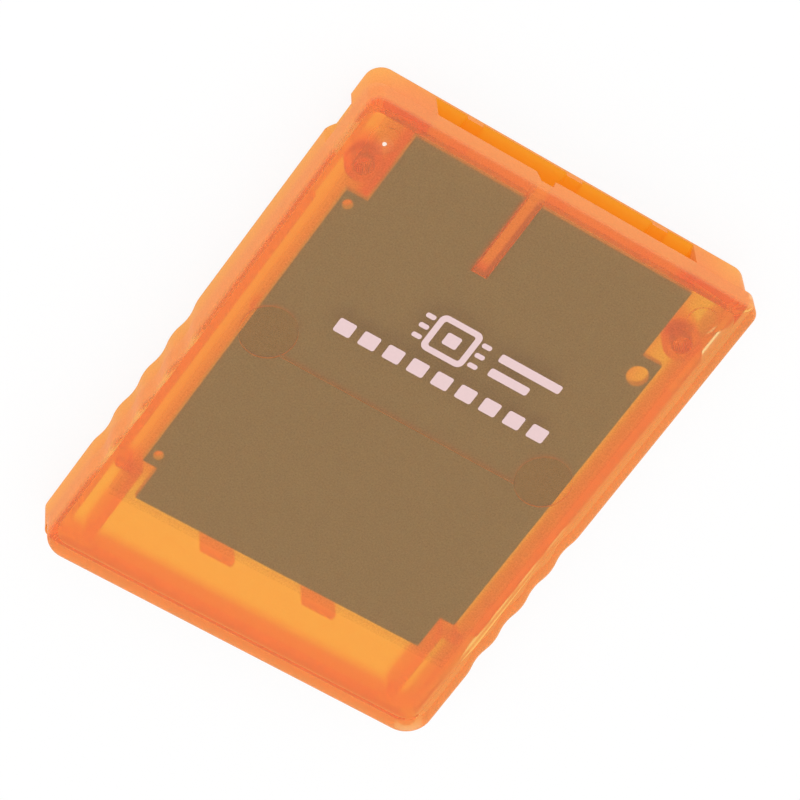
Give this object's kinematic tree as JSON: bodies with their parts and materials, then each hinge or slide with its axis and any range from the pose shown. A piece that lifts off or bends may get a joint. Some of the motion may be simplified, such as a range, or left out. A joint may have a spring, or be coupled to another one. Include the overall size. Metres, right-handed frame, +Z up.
{
  "type": "memory card",
  "caption": "Flat translucent orange memory card: two clear plastic shells over a circuit board, keyed connector mouth at the front, wavy thumb grips and detent notches on the sides.",
  "frame": {"origin": "centre of the card's outline at its underside", "axes": "+X across the card, +Y towards the connector mouth, +Z up through the label face"},
  "size_m": [0.0414, 0.055, 0.0066],
  "materials": {
    "shell_plastic": "gloss",
    "solder_mask": "satin",
    "contact_plating": "polished",
    "chip_body": "matte",
    "lead_metal": "satin",
    "capacitor_body": "matte",
    "resistor_body": "matte"
  },
  "bodies": {
    "root": {"upper_shell": "shell_plastic", "lower_shell": "shell_plastic", "circuit_board": "solder_mask", "flash_chip": "chip_body", "flash_chip_leads": "lead_metal", "controller_glob": "chip_body", "contact_pad_1": "contact_plating", "contact_pad_2": "contact_plating", "contact_pad_3": "contact_plating", "contact_pad_4": "contact_plating", "contact_pad_5": "contact_plating", "contact_pad_6": "contact_plating", "contact_pad_7": "contact_plating", "capacitor_1": "capacitor_body", "capacitor_2": "capacitor_body", "capacitor_3": "capacitor_body", "capacitor_4": "capacitor_body", "resistor_1": "resistor_body", "resistor_2": "resistor_body", "resistor_3": "resistor_body", "resistor_4": "resistor_body"}
  },
  "joints": []
}
